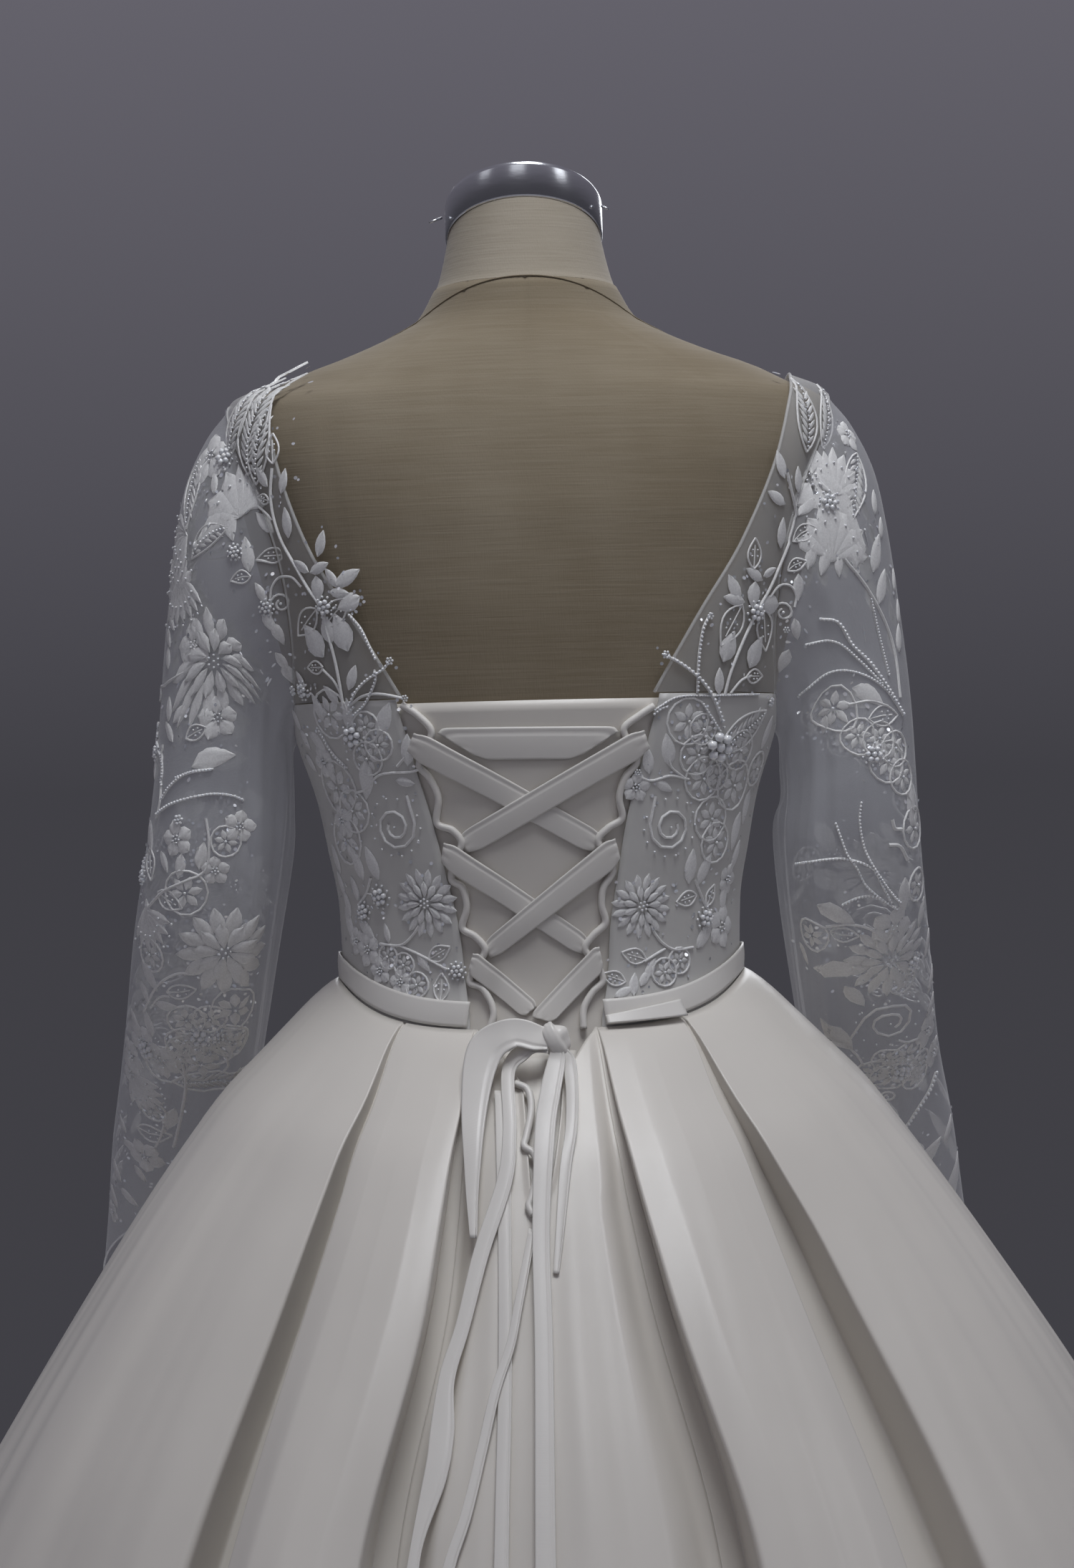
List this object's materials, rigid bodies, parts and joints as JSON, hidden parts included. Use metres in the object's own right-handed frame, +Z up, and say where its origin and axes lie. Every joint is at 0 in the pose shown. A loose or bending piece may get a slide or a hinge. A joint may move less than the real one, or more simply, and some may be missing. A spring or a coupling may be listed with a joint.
{
  "type": "wedding dress on dress form",
  "caption": "Laced-back bridal ball gown with sheer lace sleeves and a box-pleated satin skirt, on a limbless dress form.",
  "frame": {"origin": "centre of the stand's round foot, on the floor", "axes": "+Z up; the laced back of the dress faces -Y; +X is the right-hand side seen from behind"},
  "size_m": [1.443, 1.3959, 1.4835],
  "materials": {
    "iron": "dark painted steel, satin",
    "linen": "slubby natural linen cover",
    "chrome": "polished",
    "satin": "heavy ivory bridal satin, lined",
    "ribbon": "ivory satin ribbon and rouleau cord",
    "tulle": "sheer tulle with beaded embroidery"
  },
  "bodies": {
    "root": {"form_base": "iron", "form_pole": "iron", "form_torso": "linen", "form_neck": "linen", "form_neck_cap": "chrome", "bodice_back_left": "satin", "bodice_back_right": "satin", "bodice_front": "satin", "modesty_panel": "satin", "skirt_back_pleat_left": "satin", "skirt_back_pleat_right": "satin", "skirt_centre_back_left": "satin", "skirt_centre_back_right": "satin", "skirt_front": "satin", "skirt_front_pleat_left": "satin", "skirt_front_pleat_right": "satin", "skirt_side_back_left": "satin", "skirt_side_back_right": "satin", "skirt_side_front_left": "satin", "skirt_side_front_right": "satin", "placket_underlap": "satin", "belt": "ribbon", "belt_tab": "ribbon", "lace_bow_band": "ribbon", "lace_cross_1_over": "ribbon", "lace_cross_1_under": "ribbon", "lace_cross_2_over": "ribbon", "lace_cross_2_under": "ribbon", "lace_cross_3_left": "ribbon", "lace_cross_3_right": "ribbon", "lace_fold_left": "ribbon", "lace_fold_middle": "ribbon", "lace_fold_right": "ribbon", "lace_knot": "ribbon", "lace_tail_left": "ribbon", "lace_tail_middle": "ribbon", "lace_top": "ribbon", "loops_left": "ribbon", "loops_right": "ribbon", "placket_loops": "ribbon", "yoke_left": "tulle", "yoke_right": "tulle", "sleeve_left": "tulle", "sleeve_right": "tulle"}
  },
  "joints": []
}
